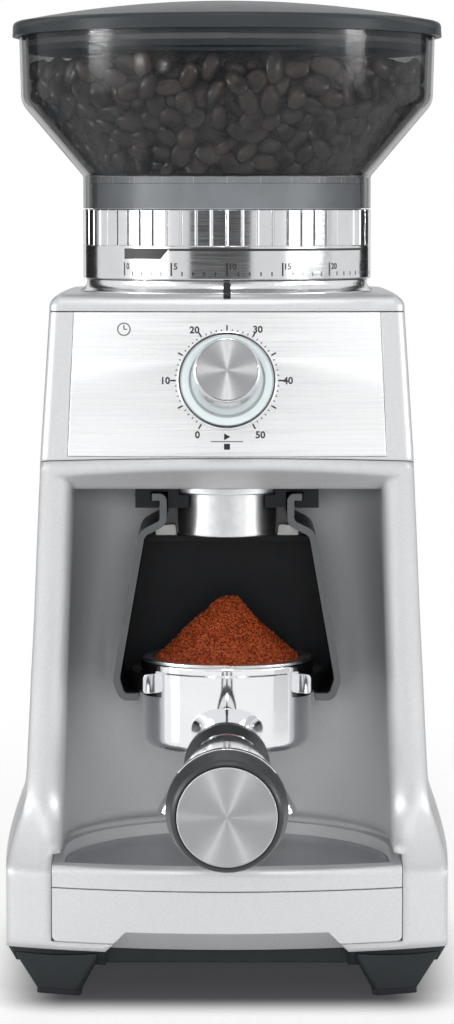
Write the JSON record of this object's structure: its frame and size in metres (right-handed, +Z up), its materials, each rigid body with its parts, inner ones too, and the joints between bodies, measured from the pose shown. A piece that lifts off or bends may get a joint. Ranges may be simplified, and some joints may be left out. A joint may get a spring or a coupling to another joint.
{
  "type": "burr coffee grinder",
  "caption": "Upright electric burr coffee grinder with clear bean hopper, fluted grind collar, timer dial, docked portafilter on a cradle and pull-out drip tray.",
  "frame": {"origin": "on the counter, under the middle of the bounding box", "axes": "+Z up, -Y towards the user (the portafilter handle), +X to the user's right"},
  "size_m": [0.1788, 0.3494, 0.3885],
  "materials": {
    "silver_paint": "fine metallic silver paint",
    "brushed_panel": "horizontally brushed",
    "chrome": "polished",
    "collar_metal": "polished",
    "black_plastic": "matt",
    "foot_plastic": "satin",
    "cradle_grey": "satin",
    "pad_plastic": "matt",
    "smoke_clear": "smoked clear",
    "smoke_lid": "smoked",
    "seal_rubber": "matt",
    "pad_rubber": "matt",
    "grip_plastic": "soft matt",
    "steel": "machined",
    "turned_metal": "turned",
    "light_guide": "translucent, lit",
    "zinc": "cast",
    "gear_nylon": "matt",
    "iron": "laminated",
    "motor_steel": "zinc plated",
    "board": "satin",
    "screw_steel": "plated"
  },
  "bodies": {
    "housing": {"main_body": "silver_paint", "head_casing": "silver_paint", "front_panel": "brushed_panel", "top_cover": "silver_paint", "index_marker": "black_plastic", "rear_cover": "silver_paint", "base_plate": "foot_plastic", "corner_feet": "foot_plastic", "foot_pads": "pad_rubber", "housing_screws": "screw_steel", "cord_gland": "black_plastic", "burr_chamber": "zinc", "shaft_bearings": "steel", "gearbox_case": "black_plastic", "gearbox_cover": "black_plastic", "motor_can": "motor_steel", "motor_end_cap": "gear_nylon", "chute_duct": "black_plastic", "chute_ring": "chrome", "cradle_rail": "black_plastic", "start_switch": "black_plastic", "dial_bezel": "chrome", "light_ring": "light_guide", "encoder_body": "black_plastic", "control_board": "board", "power_board": "board"},
    "collar": {"grind_collar": "collar_metal", "collar_hub": "black_plastic"},
    "upper_burr": {"burr_carrier": "black_plastic", "ring_burr": "steel"},
    "hopper": {"hopper": "smoke_clear", "hopper_funnel": "smoke_clear"},
    "lid": {"hopper_lid": "smoke_lid", "lid_seal": "seal_rubber"},
    "burr_drive": {"burr_shaft": "steel", "cone_burr": "steel", "impeller": "gear_nylon", "burr_nut": "steel", "burr_gear": "gear_nylon"},
    "idler": {"idler_gear": "gear_nylon"},
    "rotor": {"motor_shaft": "steel", "armature": "iron", "motor_pinion": "motor_steel", "cooling_fan": "gear_nylon"},
    "dial_stem": {"encoder_shaft": "steel"},
    "dial": {"dial_knob": "collar_metal", "dial_cap": "turned_metal"},
    "cradle": {"cradle_shell": "black_plastic", "cradle_trim": "cradle_grey", "cradle_pads": "pad_plastic"},
    "portafilter": {"portafilter_body": "chrome", "filter_basket": "steel", "twin_spout": "chrome", "handle_grip": "grip_plastic", "handle_inlay": "chrome", "handle_end_cap": "turned_metal"},
    "tray": {"tray_frame": "silver_paint", "tray_sheet": "brushed_panel", "tray_front": "silver_paint"},
    "plunger": {"start_plunger": "black_plastic"}
  },
  "joints": [
    {"name": "collar_turn", "type": "hinge", "parent": "housing", "child": "collar", "pos_m": [0, 0.06275, 0.291], "axis": [0, 0, 1], "range_deg": [-220, 44]},
    {"name": "upper_burr_screw", "type": "slide", "parent": "collar", "child": "upper_burr", "axis": [0, 0, 1], "range_m": [-0.00022, 0.0011]},
    {"name": "hopper_lift", "type": "slide", "parent": "collar", "child": "hopper", "axis": [0, 0, 1], "range_m": [0, 0.1]},
    {"name": "lid_lift", "type": "slide", "parent": "hopper", "child": "lid", "axis": [0, 0, 1], "range_m": [0, 0.08]},
    {"name": "burr_spin", "type": "hinge", "parent": "housing", "child": "burr_drive", "pos_m": [0, 0.06275, 0.242], "axis": [0, 0, 1], "continuous": true},
    {"name": "idler_spin", "type": "hinge", "parent": "housing", "child": "idler", "pos_m": [0, 0.09275, 0.213], "axis": [0, 0, 1], "continuous": true},
    {"name": "motor_spin", "type": "hinge", "parent": "housing", "child": "rotor", "pos_m": [0, 0.11875, 0.172], "axis": [0, 0, 1], "continuous": true},
    {"name": "dial_press", "type": "slide", "parent": "housing", "child": "dial_stem", "axis": [0, 0.9703, -0.2419], "range_m": [0, 0.0015], "stiffness_N_per_m": 600, "springref_m": -0.002},
    {"name": "dial_turn", "type": "hinge", "parent": "dial_stem", "child": "dial", "pos_m": [0, -0.01176, 0.2393], "axis": [0, -0.9703, 0.2419], "range_deg": [-150, 150]},
    {"name": "cradle_slide", "type": "slide", "parent": "housing", "child": "cradle", "axis": [0, -1, 0], "range_m": [0, 0.07]},
    {"name": "portafilter_slide", "type": "slide", "parent": "cradle", "child": "portafilter", "axis": [0, -1, 0], "range_m": [0, 0.12]},
    {"name": "tray_slide", "type": "slide", "parent": "housing", "child": "tray", "axis": [0, -1, 0], "range_m": [0, 0.12]},
    {"name": "plunger_press", "type": "slide", "parent": "housing", "child": "plunger", "axis": [0, 1, 0], "range_m": [0, 0.003], "stiffness_N_per_m": 300, "springref_m": -0.003}
  ],
  "couplings": [
    {"joint": "upper_burr_screw", "follows": "collar_turn", "m_per_rad": -0.000286},
    {"joint": "idler_spin", "follows": "motor_spin", "ratio": -0.36842},
    {"joint": "burr_spin", "follows": "motor_spin", "ratio": 0.13397}
  ]
}
